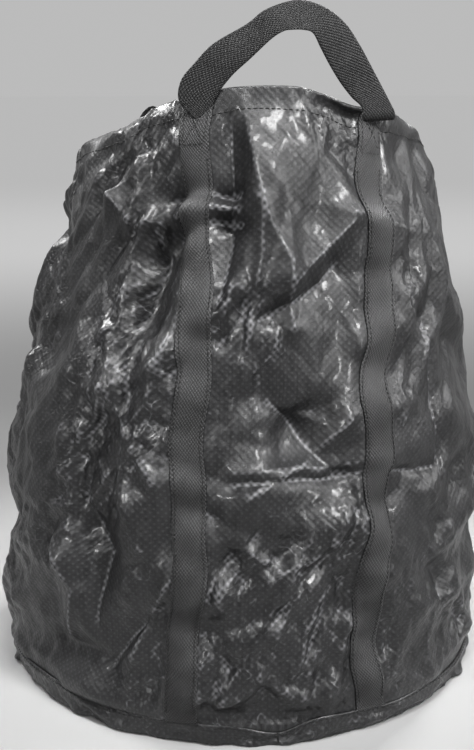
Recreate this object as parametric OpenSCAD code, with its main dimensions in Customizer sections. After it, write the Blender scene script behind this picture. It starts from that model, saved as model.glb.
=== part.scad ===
/* [Bag] */
// Diameter of the base panel over its turned-up skirt
base_d = 400; // [360:5:440]
// Outer diameter of the mouth at the rim
rim_d = 250; // [240:2:300]
// Height of the rim above the ground
rim_h = 455; // [420:5:520]
// Height up to which the wall stands straight before it draws in
straight_h = 20; // [20:5:150]
// Thickness of the laminated woven sheet
sheet_t = 0.5; // [0.4:0.1:0.8]
// Depth of the folded hem at the rim
hem_w = 18; // [12:1:24]

/* [Base] */
// Height of the base panel's turned-up skirt
skirt_h = 18; // [14:1:24]
// Number of drain holes punched in the base
drain_count = 8; // [4:1:12]
// Diameter of each drain hole
drain_d = 10; // [6:1:14]
// Diameter of the circle that the drain holes lie on
drain_circle_d = 220; // [120:10:280]

/* [Webbing] */
// Width of the webbing used for straps and handles
web_w = 24; // [20:1:30]
// Thickness of the webbing
web_t = 1.5; // [1.2:0.1:1.8]
// Distance between the two straps of one side, centre to centre on the sheet
strap_gap = 140; // [130:5:170]
// Height of a handle's centreline above its hinge line
handle_rise = 58; // [54:1:70]
// Angle that the back handle hangs at, measured from upright
hang_angle = 140; // [120:1:142]

/* [Seams] */
// Radius of the sewing thread
thread_r = 0.35; // [0.3:0.05:0.4]
// Width of the side seams' allowances inside the bag
seam_w = 12; // [8:1:16]
// Length of the crossed box of stitches at the top of each strap
tack_h = 38; // [30:1:45]

/* [Hidden] */
$fn = 96;

sheet_colour = [0.10, 0.10, 0.11];
web_colour = [0.05, 0.05, 0.06];
thread_colour = [0.02, 0.02, 0.02];

gap = 0.3;                                  // clearance between layers that lie on each other
wall_base_r = base_d / 2 - 2 * sheet_t - web_t - gap;  // leaves room for the strap ends under the skirt
rim_r = rim_d / 2;
draw_in = wall_base_r - rim_r;
draw_h = rim_h - straight_h;
draw_arc_r = (draw_in * draw_in + draw_h * draw_h) / (2 * draw_in);
wall_low = sheet_t + 0.1;                   // the wall stands on the base panel
wall_steps = 20;                            // stretches that the drawn-in part is divided into

hinge_z = rim_h + 2;
foot_x = strap_centre(rim_h, 0)[0];
hinge_y = -strap_centre(rim_h, gap + web_t)[1] + web_w / 2 * sin(strap_angle(rim_h)) + 2.5;
foot_bend_r = 16;                           // centreline radius of the turn at a handle's foot
foot_lean = 45;                             // angle that a handle's legs lean in by
top_bend_r = 30;                            // centreline radius of the handle's top
bend_step = 5;                              // degrees between points on the handle's bends

// Outer radius of the wall at height z: straight, then drawn in along one arc.
function wall_r(z) = z <= straight_h ? wall_base_r
    : wall_base_r - draw_arc_r + sqrt(draw_arc_r * draw_arc_r - pow(z - straight_h, 2));

// Heights from low to high at which the wall's profile has a point.
function wall_heights(low, high) = concat(
    [low],
    [for (i = [0 : wall_steps]) let (z = straight_h + draw_h * i / wall_steps) if (z > low && z < high) z],
    [high]
);

// The wall's profile between two heights, from `outer` to `inner` millimetres outside its face.
function wall_band(low, high, outer, inner) = let (zs = wall_heights(low, high), n = len(zs)) concat(
    [for (z = zs) [wall_r(z) + outer, z]],
    [for (i = [n - 1 : -1 : 0]) [wall_r(zs[i]) + inner, zs[i]]]
);

// Angle from the front at which a strap's centre lies, so that the straps stay parallel on the sheet.
function strap_angle(z) = strap_gap / 2 / wall_r(z) * 180 / PI;

// Centre of the right-hand front strap at height z, `out` millimetres outside the wall.
function strap_centre(z, out) = let (a = strap_angle(z), r = wall_r(z) + out) [r * sin(a), -r * cos(a), z];

// A point on the right-hand front strap: `across` the webbing from its centre.
function strap_point(z, out, across) = let (a = strap_angle(z), c = strap_centre(z, out))
    [c[0] + across * cos(a), c[1] + across * sin(a), z];

// Quads that close a sweep of n rings with m points each, ends included.
function sweep_faces(n, m) = concat(
    [[for (j = [0 : m - 1]) j]],
    [for (i = [0 : n - 2], j = [0 : m - 1]) let (k = (j + 1) % m) [i * m + j, (i + 1) * m + j, (i + 1) * m + k]],
    [for (i = [0 : n - 2], j = [0 : m - 1]) let (k = (j + 1) % m) [i * m + j, (i + 1) * m + k, i * m + k]],
    [[for (j = [m - 1 : -1 : 0]) (n - 1) * m + j]]
);

// Half of the wall, with its folded hem and the allowances of both side seams inside.
module half_wall() {
    color(sheet_colour) union() {
        rotate_extrude(angle = 180) polygon(wall_band(wall_low, rim_h, 0, -sheet_t));
        rotate_extrude(angle = 180) polygon(wall_band(rim_h - hem_w, rim_h, -sheet_t / 2, -2 * sheet_t));
        for (side = [0, 1]) mirror([side, 0, 0]) seam_allowance();
    }
}

// The inward edge of a half wall at a side seam.
module seam_allowance() {
    translate([0, sheet_t, 0]) rotate([90, 0, 0]) linear_extrude(height = sheet_t)
        polygon(wall_band(wall_low, rim_h, -sheet_t / 2, -seam_w));
}

module front_wall() { rotate([0, 0, 180]) half_wall(); }
module back_wall() { half_wall(); }

// The base disc with its border turned up outside the wall, and its drain holes.
module base_panel() {
    color(sheet_colour) difference() {
        rotate_extrude() polygon([
            [0, 0], [base_d / 2, 0], [base_d / 2, skirt_h],
            [base_d / 2 - sheet_t, skirt_h], [base_d / 2 - sheet_t, sheet_t], [0, sheet_t]
        ]);
        for (i = [0 : drain_count - 1]) rotate([0, 0, (i + 0.5) * 360 / drain_count])
            translate([drain_circle_d / 2, 0, -1]) cylinder(d = drain_d, h = sheet_t + 2, $fn = 32);
    }
}

// Places the right-hand front part at one of the four strap positions.
module at_strap(front, right) {
    mirror([right ? 0 : 1, 0, 0]) mirror([0, front ? 0 : 1, 0]) children();
}

// One length of webbing, sewn on from under the skirt up to the rim.
module strap() {
    zs = wall_heights(wall_low + 1, rim_h);
    rings = [for (z = zs) [
        strap_point(z, gap, -web_w / 2), strap_point(z, gap, web_w / 2),
        strap_point(z, gap + web_t, web_w / 2), strap_point(z, gap + web_t, -web_w / 2)
    ]];
    color(web_colour)
        polyhedron([for (ring = rings) each ring], sweep_faces(len(rings), 4));
}

// A thread that runs up a strap's face, `across` from its centre.
module strap_thread(low, high, across) {
    sides = 6;
    out = gap + web_t + thread_r + 0.05;
    zs = wall_heights(low, high);
    rings = [for (z = zs) let (a = strap_angle(z), c = strap_point(z, out, across)) [
        for (j = [0 : sides - 1]) let (t = 360 * j / sides)
            c + thread_r * [cos(a) * cos(t) + sin(a) * sin(t), sin(a) * cos(t) - cos(a) * sin(t), 0]
    ]];
    color(thread_colour)
        polyhedron([for (ring = rings) each ring], sweep_faces(len(rings), sides));
}

module strap_stitching() {
    for (side = [-1, 1]) strap_thread(skirt_h + 1, rim_h - tack_h - 4, side * (web_w / 2 - 2.5));
}

// A straight thread between two points.
module thread(a, b) {
    d = b - a;
    length = norm(d);
    translate(a) rotate([0, acos(d[2] / length), atan2(d[1], d[0])])
        cylinder(r = thread_r, h = length, $fn = 16);
}

// The crossed box of stitches that ties a handle's end to its strap.
module tack() {
    face = gap + web_t + thread_r + 0.25;   // clears the webbing's face where a thread cuts its corner
    over = face + 2 * thread_r + 0.05;      // one diagonal lies on the box, the other on both
    edge = web_w / 2 - 3;
    low = rim_h - tack_h;
    top = rim_h - 3;
    end = 2 * thread_r;                     // threads end short of the corners, where the needle goes in
    color(thread_colour) {
        for (side = [-1, 1]) thread(strap_point(low, face, side * edge), strap_point(top, face, side * edge));
        for (z = [low, top]) thread(strap_point(z, face, end - edge), strap_point(z, face, edge - end));
        thread(strap_point(low + end, over, end - edge), strap_point(top - end, over, edge - end));
        thread(
            strap_point(low + end, over + 2 * thread_r + 0.05, edge - end),
            strap_point(top - end, over + 2 * thread_r + 0.05, end - edge)
        );
    }
}

// The line of stitches under the hem, which the four straps interrupt.
module hem_stitching() {
    z = rim_h - hem_w + 3;
    r = wall_r(z) + thread_r + 0.05;
    hidden = (web_w / 2 + 1) / wall_r(z) * 180 / PI;
    centre = strap_angle(z);
    spans = [
        [-90 - centre + hidden, -90 + centre - hidden],
        [-90 + centre + hidden, 90 - centre - hidden],
        [90 - centre + hidden, 90 + centre - hidden],
        [90 + centre + hidden, 270 - centre - hidden]
    ];
    color(thread_colour) for (span = spans) rotate([0, 0, span[0]])
        rotate_extrude(angle = span[1] - span[0]) translate([r, z]) circle(r = thread_r, $fn = 16);
}

// The line of stitches round the skirt, through skirt, strap ends and wall.
module base_stitching() {
    color(thread_colour) rotate_extrude()
        translate([base_d / 2 + thread_r + 0.05, skirt_h - 4]) circle(r = thread_r, $fn = 16);
}

// The line of stitches through the right-hand side seam's allowances.
module seam_stitching() {
    sides = 6;
    zs = wall_heights(skirt_h, rim_h - 2);
    rings = [for (z = zs) [for (j = [0 : sides - 1]) let (t = 360 * j / sides) [
        wall_r(z) - seam_w / 2 + thread_r * cos(t), -sheet_t - 0.05 - thread_r - thread_r * sin(t), z
    ]]];
    color(thread_colour)
        polyhedron([for (ring = rings) each ring], sweep_faces(len(rings), sides));
}

// Centreline of half a handle from its foot to the top, as [x, z, direction].
function handle_half() = let (
    turn = [for (a = [0 : bend_step : foot_lean])
        [foot_x - foot_bend_r * (1 - cos(a)), 3 + foot_bend_r * sin(a), 90 + a]],
    cap = [for (a = [foot_lean : bend_step : 90])
        [top_bend_r * cos(a), handle_rise - top_bend_r + top_bend_r * sin(a), 90 + a]]
) concat([[foot_x, 0, 90]], turn, cap);

// Both halves, so the path runs from the right foot over the top to the left foot.
function handle_path() = let (half = handle_half(), n = len(half)) concat(
    half,
    [for (i = [n - 2 : -1 : 0]) [-half[i][0], half[i][1], 360 - half[i][2]]]
);

// A flat loop of webbing that stands up from its hinge line, in the XZ plane.
module handle_loop() {
    path = handle_path();
    n = len(path);
    edge = [for (p = path) web_w / 2 * [sin(p[2]), -cos(p[2])]];
    color(web_colour) translate([0, web_t / 2, 0]) rotate([90, 0, 0]) linear_extrude(height = web_t) polygon(concat(
        [for (i = [0 : n - 1]) [path[i][0], path[i][1]] + edge[i]],
        [for (i = [n - 1 : -1 : 0]) [path[i][0], path[i][1]] - edge[i]]
    ));
}

module front_handle() { translate([0, -hinge_y, hinge_z]) handle_loop(); }
module back_handle() { translate([0, hinge_y, hinge_z]) rotate([-hang_angle, 0, 0]) handle_loop(); }

front_wall();
back_wall();
base_panel();
at_strap(true, false) strap();  // front_left_strap
at_strap(true, true) strap();  // front_right_strap
at_strap(false, false) strap();  // back_left_strap
at_strap(false, true) strap();  // back_right_strap
front_handle();
back_handle();
hem_stitching();
base_stitching();
mirror([1, 0, 0]) seam_stitching();  // left_seam_stitching
seam_stitching();  // right_seam_stitching
at_strap(true, false) strap_stitching();  // front_left_strap_stitching
at_strap(true, true) strap_stitching();  // front_right_strap_stitching
at_strap(false, false) strap_stitching();  // back_left_strap_stitching
at_strap(false, true) strap_stitching();  // back_right_strap_stitching
at_strap(true, false) tack();  // front_left_tack
at_strap(true, true) tack();  // front_right_tack
at_strap(false, false) tack();  // back_left_tack
at_strap(false, true) tack();  // back_right_tack
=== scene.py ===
"""A crumpled grow bag of coated woven sheet, with webbing straps and handles, built round its CAD frame."""

import math

import bpy
import numpy as np
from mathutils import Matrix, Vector, geometry


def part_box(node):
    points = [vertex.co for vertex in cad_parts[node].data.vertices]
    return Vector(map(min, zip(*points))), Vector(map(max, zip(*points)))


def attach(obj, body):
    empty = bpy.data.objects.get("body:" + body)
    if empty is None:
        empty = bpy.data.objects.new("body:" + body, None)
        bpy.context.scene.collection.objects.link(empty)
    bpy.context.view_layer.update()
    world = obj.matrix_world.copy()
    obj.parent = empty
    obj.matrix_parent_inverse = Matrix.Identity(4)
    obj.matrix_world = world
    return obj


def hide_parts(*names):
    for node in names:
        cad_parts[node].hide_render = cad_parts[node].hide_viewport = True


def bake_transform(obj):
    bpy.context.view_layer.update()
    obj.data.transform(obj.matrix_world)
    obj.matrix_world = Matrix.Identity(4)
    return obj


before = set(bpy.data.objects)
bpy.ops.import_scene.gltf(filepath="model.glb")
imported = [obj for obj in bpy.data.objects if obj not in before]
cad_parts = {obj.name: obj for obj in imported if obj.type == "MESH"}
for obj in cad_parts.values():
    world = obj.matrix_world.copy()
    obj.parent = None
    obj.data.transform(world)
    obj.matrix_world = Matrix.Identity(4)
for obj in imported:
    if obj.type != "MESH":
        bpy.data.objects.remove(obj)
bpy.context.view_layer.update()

# ---------------------------------------------------------------- sizes, in metres and degrees

BASE_R = float(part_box("front_wall")[1][0])  # wall radius at the ground
RIM_Z = float(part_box("front_wall")[1][2])  # nominal height of the rim
SEAM_Z = float(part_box("base_stitching")[0][2])  # height of the base seam's stitches
RIM_R = 0.125  # mean radius of the gathered mouth
RIM_CUT_R = 0.146  # radius that the mouth was cut to, before it is gathered
LEAN = 0.008  # how far the mouth leans to +X
TWIST = 4.4  # degrees that the straps turn between base and mouth
WALL_H = 0.470  # flat height from base seam to rim
HEM = 0.018  # depth of the folded hem
SHEET_T = 0.0006  # thickness of the sheet
WEB_W = 0.024  # width of the webbing
WEB_T = 0.0012  # thickness of the webbing
STRAP_S = 0.070  # strap centre's distance from the front, along the sheet
TAPE = 0.0028  # pitch of the woven tapes

SIM_S, SIM_V = 132, 50  # cells of the simulated wall, around and up
FINE_S, FINE_V = 720, 272  # cells of the finished wall, around and up
HEM_ROWS = 7  # rows of points in the hem's inner layer
SKIRT_ROWS = 6  # rows of points in the seam allowance


# ---------------------------------------------------------------- small helpers

def smoothstep(x, low, high):
    t = np.clip((x - low) / (high - low), 0, 1)
    return t * t * (3 - 2 * t)


def unit(v):
    return v / np.maximum(np.linalg.norm(v, axis=-1, keepdims=True), 1e-9)


def mesh_object(name, points, faces, uvs=None):
    """A smooth mesh from arrays. uvs holds one pair for each point."""
    mesh = bpy.data.meshes.new(name)
    mesh.from_pydata(np.asarray(points).reshape(-1, 3).tolist(), [], faces)
    if uvs is not None:
        layer = mesh.uv_layers.new(name="flat")
        loops = np.empty(len(mesh.loops), dtype=np.int32)
        mesh.loops.foreach_get("vertex_index", loops)
        layer.data.foreach_set("uv", uvs.reshape(-1, 2)[loops].astype(np.float32).ravel())
    mesh.polygons.foreach_set("use_smooth", [True] * len(mesh.polygons))
    mesh.update()
    piece = bpy.data.objects.new(name, mesh)
    bpy.context.scene.collection.objects.link(piece)
    return piece


def mark_points(piece, name, values):
    """Keeps a value for each point, for the material to read."""
    layer = piece.data.attributes.new(name, "FLOAT", "POINT")
    layer.data.foreach_set("value", values.astype(np.float32).ravel())


def grid_faces(columns, rows, wrap=False):
    """Quads of a grid of columns x rows points, stored column by column."""
    last = columns if wrap else columns - 1
    i, j = np.meshgrid(np.arange(last), np.arange(rows - 1), indexing="ij")
    k = (i + 1) % columns
    quads = np.stack([i * rows + j, k * rows + j, k * rows + j + 1, i * rows + j + 1], -1)
    return quads.reshape(-1, 4).tolist()


def grid_normals(points):
    """Outward normals of a wall grid that wraps round in its first direction."""
    around = np.roll(points, -1, 0) - np.roll(points, 1, 0)
    up = np.gradient(points, axis=1)
    return unit(np.cross(around, up))


def blur(field, cells_s, cells_v):
    """A soft average of a wall field, wrapping round in the first direction."""
    for _ in range(3):
        total = np.zeros_like(field)
        for shift in range(-cells_s, cells_s + 1):
            total += np.roll(field, shift, 0)
        field = total / (2 * cells_s + 1)
        pad = [(0, 0), (cells_v, cells_v)] + [(0, 0)] * (field.ndim - 2)
        wide = np.pad(field, pad, mode="edge")
        field = sum(wide[:, k:k + field.shape[1]] for k in range(2 * cells_v + 1)) / (2 * cells_v + 1)
    return field


def cubic_weights(t):
    return np.stack([
        -0.5 * t + t ** 2 - 0.5 * t ** 3,
        1 - 2.5 * t ** 2 + 1.5 * t ** 3,
        0.5 * t + 2 * t ** 2 - 1.5 * t ** 3,
        -0.5 * t ** 2 + 0.5 * t ** 3,
    ], -1)


def sample_wall(grid, s, v):
    """Smoothly interpolated grid values at s in 0..1 around (wrapping) and v in 0..1 up."""
    columns, rows = grid.shape[:2]
    fs = (np.asarray(s) % 1.0) * columns
    fv = np.clip(np.asarray(v), 0, 1) * (rows - 1)
    i = np.floor(fs).astype(int)
    j = np.minimum(np.floor(fv).astype(int), rows - 2)
    ws = cubic_weights(fs - i)
    wv = cubic_weights(fv - j)
    out = 0
    for a in range(4):
        for b in range(4):
            weight = ws[..., a] * wv[..., b]
            node = grid[(i + a - 1) % columns, np.clip(j + b - 1, 0, rows - 1)]
            out = out + (weight[..., None] * node if grid.ndim == 3 else weight * node)
    return out


# ---------------------------------------------------------------- the wall's overall form

# Height of the rim round the mouth: the front middle stands, and the sides droop.
RIM_LINE = [
    (-90, 0.418), (-58, 0.430), (-42, 0.447), (-30, 0.454), (-13, 0.460), (8, 0.459), (17, 0.445),
    (27, 0.441), (34, 0.445), (58, 0.434), (80, 0.417), (100, 0.412), (122, 0.416), (148, 0.446),
    (180, 0.434), (212, 0.437), (225, 0.422), (240, 0.410), (256, 0.409),
]


def rim_height(angle):
    """Height of the rim, in metres, at an angle in degrees from the front towards +X."""
    a = (np.asarray(angle) + 90) % 360 - 90
    knots = [k for k, _ in RIM_LINE] + [270]
    values = [h for _, h in RIM_LINE] + [RIM_LINE[0][1]]
    return np.interp(a, knots, values)


def form_radius(z):
    """Radius of the undisturbed wall, which draws in more and more towards the mouth."""
    return BASE_R - (BASE_R - RIM_R) * (z / RIM_Z) ** 2


def cut_radius(v):
    """Radius that the wall was cut to, at a height v of 0..1."""
    return form_radius(v * RIM_Z) + (RIM_CUT_R - RIM_R) * v ** 1.5


def strap_angle(v):
    """Angle of a strap's centre on the cut sheet, in degrees from the front."""
    return np.degrees(STRAP_S / cut_radius(v))


def off_strap(angle, v):
    """Degrees on the cut sheet to the nearest strap's centre."""
    turn = np.abs((angle + 180) % 360 - 180)
    return np.minimum(np.abs(turn - strap_angle(v)), np.abs(180 - turn - strap_angle(v)))


def gathered_angle(angle, v):
    """Angle at which a column of the cut sheet lies once gathered: the straps keep their spacing."""
    z = SEAM_Z + v * (RIM_Z - SEAM_Z)
    flat = strap_angle(v)
    now = np.degrees(STRAP_S / form_radius(z))
    turn = (angle + 180) % 360 - 180
    side = np.abs(turn)
    middle = now + (side - flat) / (180 - 2 * flat) * (180 - 2 * now)
    near_front = side / flat * now
    near_back = 180 - (180 - side) / flat * now
    out = np.where(side <= flat, near_front, np.where(side >= 180 - flat, near_back, middle))
    return np.sign(turn) * out


MOUTH_SQUEEZE = 0.011  # how much nearer the middle the mouth's two sides stand
FOOT_TUCK = 0.001  # how much the wall draws in at the ground
BELLY = 0.003  # how much it stands out 170 mm up

# How the standing bag's outline departs from that: (degrees from the front, half width,
# height, half height, change of radius), in degrees and metres.
OUTLINE = [
    (-70, 45, 0.000, 0.060, -0.0040),
    (75, 45, 0.050, 0.070, -0.0080),
    (-100, 50, 0.130, 0.035, 0.0070),
    (-100, 50, 0.235, 0.030, -0.0040),
    (-100, 50, 0.335, 0.030, -0.0050),
]


def wall_form(angle, v):
    """Points of the undisturbed wall at a gathered angle in degrees and a height v of 0..1."""
    z = SEAM_Z + v * (rim_height(angle) - SEAM_Z)
    r = form_radius(z)
    a = np.radians(angle - TWIST * (1 - z / RIM_Z))
    r = r - MOUTH_SQUEEZE * smoothstep(z, 0.375, 0.425) * np.sin(a) ** 2
    lean = LEAN * (z / RIM_Z) ** 1.5
    turn = (angle + 180) % 360 - 180
    for middle, half_width, height, half_height, change in OUTLINE:
        r = r + change * np.exp(-((turn - middle) / half_width) ** 2 - ((z - height) / half_height) ** 2)
    r = r - FOOT_TUCK * np.exp(-(z / 0.06) ** 2) + BELLY * np.exp(-((z - 0.17) / 0.08) ** 2)
    return np.stack([r * np.sin(a) + lean, -r * np.cos(a), z], -1)


FIRST_WAVES = 0.006  # size of the waves that the sheet starts with
GATHERED_FRAME, LAST_FRAME, QUICK_FRAME = 28, 44, 4
WALL_HOLD, STRAP_HOLD, RIM_HOLD = 0.12, 0.25, 0.8  # how firmly each part follows the bag's form
RIM_HELD = (-90, -66, -45, 0, 45, 66, 90, 115, 180, 245)  # where the rim is held fast, in degrees
CLOTH = {
    "quality": 6, "mass": 0.3, "pin_stiffness": 10,
    "tension_stiffness": 40, "compression_stiffness": 40, "shear_stiffness": 15, "bending_stiffness": 5,
    "tension_damping": 15, "compression_damping": 15, "shear_damping": 10, "bending_damping": 1.0,
    "air_damping": 4,
}


def crumple_wall():
    """Simulates the sheet as it draws in from a full-size cylinder to the gathered mouth."""
    columns = np.arange(SIM_S) / SIM_S * 360
    ANGLE, V = np.meshgrid(columns, np.linspace(0, 1, SIM_V + 1), indexing="ij")
    a = np.radians(ANGLE)
    cut = cut_radius(V)
    rest = np.stack([cut * np.sin(a), -cut * np.cos(a), SEAM_Z + V * WALL_H], -1)
    rng = np.random.default_rng(7)
    uneven = blur(rng.normal(size=ANGLE.shape), 3, 3)
    uneven = uneven / np.abs(uneven).max()
    target = wall_form(gathered_angle(ANGLE, V), V)
    start = rest + unit(rest * [1, 1, 0]) * (uneven * FIRST_WAVES * (V > 0))[..., None]

    piece = mesh_object("wall_sheet", start, grid_faces(SIM_S, SIM_V + 1, wrap=True))
    piece.shape_key_add(name="rest")
    gathered = piece.shape_key_add(name="gathered")
    gathered.data.foreach_set("co", target.astype(np.float32).ravel())
    gathered.value = 0
    gathered.keyframe_insert("value", frame=1)
    gathered.value = 1
    gathered.keyframe_insert("value", frame=GATHERED_FRAME)

    strap = off_strap(ANGLE, V) < 0.7 * 360 / SIM_S
    pins = np.full(ANGLE.shape, WALL_HOLD)
    pins[strap] = STRAP_HOLD
    pins[:, -1] = RIM_HOLD
    held = np.zeros(SIM_S, bool)
    for degrees in RIM_HELD:
        held[int(round(degrees / 360 * SIM_S)) % SIM_S] = True
    pins[:, -1][held | strap[:, -1]] = 1
    pins[:, 0] = 1
    group = piece.vertex_groups.new(name="held")
    for weight in np.unique(pins):
        group.add(np.flatnonzero(pins.ravel() == weight).tolist(), float(weight), "REPLACE")

    cloth = piece.modifiers.new("cloth", "CLOTH")
    settings = cloth.settings
    for setting, value in CLOTH.items():
        setattr(settings, setting, value)
    settings.vertex_group_mass = "held"
    settings.rest_shape_key = piece.data.shape_keys.key_blocks["rest"]
    settings.effector_weights.gravity = 0
    cloth.collision_settings.use_self_collision = True
    cloth.collision_settings.self_distance_min = 0.004
    cloth.collision_settings.collision_quality = 2
    last = LAST_FRAME
    cloth.point_cache.frame_start = 1
    cloth.point_cache.frame_end = last
    scene = bpy.context.scene
    for number in range(1, last + 1):
        scene.frame_set(number)
    result = piece.evaluated_get(bpy.context.evaluated_depsgraph_get()).to_mesh()
    points = np.empty(len(result.vertices) * 3, dtype=np.float32)
    result.vertices.foreach_get("co", points)
    mesh = piece.data
    bpy.data.objects.remove(piece)
    bpy.data.meshes.remove(mesh)
    scene.frame_set(1)
    return points.reshape(SIM_S, SIM_V + 1, 3).astype(float)


# ---------------------------------------------------------------- creases in the finished wall

def facets(shape, cell, seed, tall, value):
    """Flat facets that meet at sharp creases, as in crumpled foil, over a wall grid of that shape.

    value(x, y, rng) gives what the facets' corners hold, at x of 0..1 around and y of 0..1 up."""
    width, height = 2 * math.pi * BASE_R, WALL_H
    rng = np.random.default_rng(seed)
    columns = max(6, int(round(width / cell)))
    rows = max(3, int(round(height / cell / tall)))
    i, j = np.meshgrid(np.arange(columns), np.arange(-1, rows + 2), indexing="ij")
    x = ((i + rng.uniform(-0.1, 1.1, i.shape)) / columns).ravel()
    y = ((j + rng.uniform(-0.1, 1.1, j.shape)) / rows).ravel()
    corners = value(x, y, rng)
    near = 2.5 / columns
    left, right = x < near, x > 1 - near
    x = np.concatenate([x, x[left] + 1, x[right] - 1])
    y = np.concatenate([y, y[left], y[right]])
    corners = np.concatenate([corners, corners[left], corners[right]])
    flat = [Vector((float(p) * width, float(q) * height / tall)) for p, q in zip(x, y)]
    _, _, triangles, origin, _, _ = geometry.delaunay_2d_cdt(flat, [], [], 0, 1e-9)
    columns_out, rows_out = shape
    field = np.zeros((columns_out, rows_out, corners.shape[1]))
    gx, gy = x * columns_out, y * (rows_out - 1)

    def span(values, count):
        """First and last grid line between a triangle's corners."""
        return max(0, math.ceil(min(values))), min(count - 1, int(max(values)))

    for triangle in triangles:
        a, b, c = (origin[k][0] for k in triangle)
        x0, x1 = span((gx[a], gx[b], gx[c]), columns_out)
        y0, y1 = span((gy[a], gy[b], gy[c]), rows_out)
        area = (gx[b] - gx[a]) * (gy[c] - gy[a]) - (gx[c] - gx[a]) * (gy[b] - gy[a])
        if x1 < x0 or y1 < y0 or abs(area) < 1e-9:
            continue
        px = np.arange(x0, x1 + 1)[:, None]
        py = np.arange(y0, y1 + 1)[None, :]
        wb = ((px - gx[a]) * (gy[c] - gy[a]) - (gx[c] - gx[a]) * (py - gy[a])) / area
        wc = ((gx[b] - gx[a]) * (py - gy[a]) - (px - gx[a]) * (gy[b] - gy[a])) / area
        inside = (wb >= -1e-6) & (wc >= -1e-6) & (wb + wc <= 1 + 1e-6)
        wb, wc = wb[inside][:, None], wc[inside][:, None]
        field[x0:x1 + 1, y0:y1 + 1][inside] = corners[a] * (1 - wb - wc) + corners[b] * wb + corners[c] * wc
    return field


def slanted(field, turns):
    """The field turned round the wall more and more towards the rim, so that its facets lie slantwise."""
    made = np.empty_like(field)
    last = field.shape[1] - 1
    for row in range(last + 1):
        shift = turns * row / last * field.shape[0]
        whole = math.floor(shift)
        part = shift - whole
        made[:, row] = (1 - part) * np.roll(field[:, row], whole, 0)
        made[:, row] += part * np.roll(field[:, row], whole + 1, 0)
    return made


def along_line(angle, z, points):
    """Distance in metres, on the wall, from each grid point to a line of (angle, height) points."""
    best = np.full(angle.shape, 1.0)
    radius = form_radius(z)
    for (a0, z0), (a1, z1) in zip(points, points[1:]):
        scale = np.radians(1) * radius
        px = ((angle - a0 + 180) % 360 - 180) * scale
        pz = z - z0
        dx, dz = (a1 - a0) * scale, z1 - z0
        t = np.clip((px * dx + pz * dz) / (dx * dx + dz * dz), 0, 1)
        best = np.minimum(best, np.hypot(px - t * dx, pz - t * dz))
    return best


FOLD_GAIN = 1.3
FOLD_SHARPNESS = 1.15  # 1 is a sharp crease, 2 a soft swell

# Folds that stand out on the front: (rise, half width, its line of (degrees, height)), in metres.
# A negative rise is a valley.
FOLDS = [
    (0.011, 0.019, [(-16, 0.452), (-12, 0.420), (-9, 0.386), (-9, 0.347), (-12, 0.305)]),
    (-0.007, 0.012, [(-19, 0.440), (-18, 0.400), (-17, 0.360), (-19, 0.320)]),
    (-0.008, 0.010, [(11, 0.338), (2, 0.322), (-9, 0.306)]),
    (0.007, 0.014, [(16, 0.362), (6, 0.350), (-2, 0.332)]),
    (-0.010, 0.016, [(-8, 0.250), (1, 0.226), (9, 0.198)]),
    (0.008, 0.012, [(12, 0.232), (3, 0.208), (-11, 0.186)]),
    (-0.0035, 0.004, [(-14, 0.193), (0, 0.196), (18, 0.192), (38, 0.186)]),
    (0.003, 0.007, [(-14, 0.201), (0, 0.204), (18, 0.200)]),
    (-0.009, 0.007, [(-36, 0.384), (-26, 0.390), (-16, 0.388)]),
    (-0.008, 0.006, [(-33, 0.358), (-22, 0.369), (-15, 0.368)]),
    (0.006, 0.006, [(-34, 0.372), (-24, 0.379), (-16, 0.378)]),
    (0.0045, 0.009, [(-33, 0.440), (-42, 0.412), (-56, 0.376)]),
    (-0.0035, 0.008, [(-38, 0.432), (-49, 0.408), (-62, 0.372)]),
    (0.003, 0.008, [(-46, 0.425), (-58, 0.404), (-68, 0.380)]),
    (0.008, 0.010, [(-29, 0.372), (-27, 0.335), (-29, 0.300), (-33, 0.272)]),
    (0.006, 0.009, [(-56, 0.380), (-46, 0.362), (-38, 0.366)]),
    (-0.002, 0.003, [(40, 0.170), (39, 0.230), (40, 0.289)]),
    (0.005, 0.008, [(-46, 0.250), (-38, 0.215), (-31, 0.190)]),
    (0.007, 0.012, [(-10, 0.385), (-3, 0.345), (-1, 0.300)]),
    (-0.005, 0.008, [(-52, 0.170), (-44, 0.130), (-47, 0.080)]),
    (0.004, 0.006, [(-58, 0.130), (-52, 0.100), (-55, 0.060)]),
    (-0.006, 0.010, [(-30, 0.100), (-37, 0.074), (-42, 0.050)]),
    (0.006, 0.009, [(-26, 0.130), (-33, 0.088), (-36, 0.060)]),
    (0.005, 0.008, [(-12, 0.150), (-4, 0.130), (4, 0.140)]),
]

# Hollows on the front: (depth, angle, height, half width in degrees, half height, lean in degrees).
HOLLOWS = [
    (0.024, -37, 0.330, 6.5, 0.052, -14),
    (0.008, 2, 0.225, 7.0, 0.030, -30),
    (0.006, 24, 0.395, 6.0, 0.035, 10),
    (0.006, -48, 0.150, 8.0, 0.040, 20),
]


def named_folds(angle, z):
    """Height of the front's own folds and hollows over the wall, in metres."""
    height = np.zeros(angle.shape)
    for rise, half_width, line in FOLDS:
        distance = along_line(angle, z, line)
        height += FOLD_GAIN * rise * np.exp(-np.abs(distance / half_width) ** FOLD_SHARPNESS)
    for depth, a, level, half_angle, half_height, lean in HOLLOWS:
        x = (angle - a) / half_angle
        y = (z - level) / half_height
        x = x + y * math.tan(math.radians(lean))
        height -= depth * np.exp(-(x * x + y * y) ** 2)
    return height


def strap_mask(angle, v):
    """1 under the four straps, fading to 0 within 4 mm of their edges."""
    metres = np.radians(off_strap(angle, v)) * cut_radius(v)
    return 1 - smoothstep(metres, WEB_W / 2, WEB_W / 2 + 0.004)


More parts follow.
